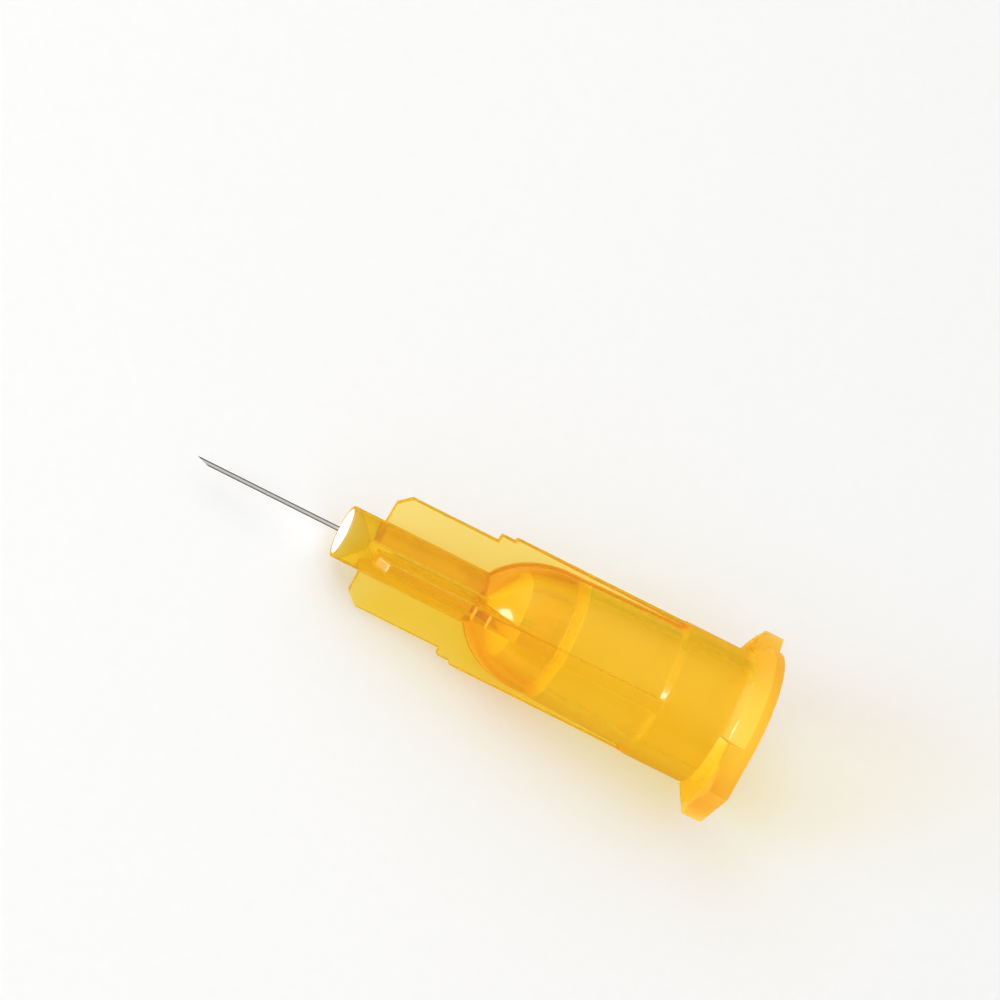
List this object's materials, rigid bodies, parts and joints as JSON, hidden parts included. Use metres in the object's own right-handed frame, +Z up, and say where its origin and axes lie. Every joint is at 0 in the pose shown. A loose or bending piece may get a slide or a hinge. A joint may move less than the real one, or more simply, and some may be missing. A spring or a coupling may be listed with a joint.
{
  "type": "mesotherapy needle",
  "caption": "Short fine steel needle glued into a clear amber plastic hub with four fins, a tapered syringe socket and lock lugs, lying on its side.",
  "frame": {"origin": "floor under the middle of the needle, which lies on its side at rest", "axes": "+X along the floor from the point toward the flange, +Z up; the tube and hub dip toward the point"},
  "size_m": [0.024, 0.0076, 0.0067],
  "materials": {
    "hub": "gloss",
    "adhesive": "satin",
    "cannula": "polished"
  },
  "bodies": {
    "root": {"hub": "hub", "adhesive": "adhesive", "cannula": "cannula"}
  },
  "joints": []
}
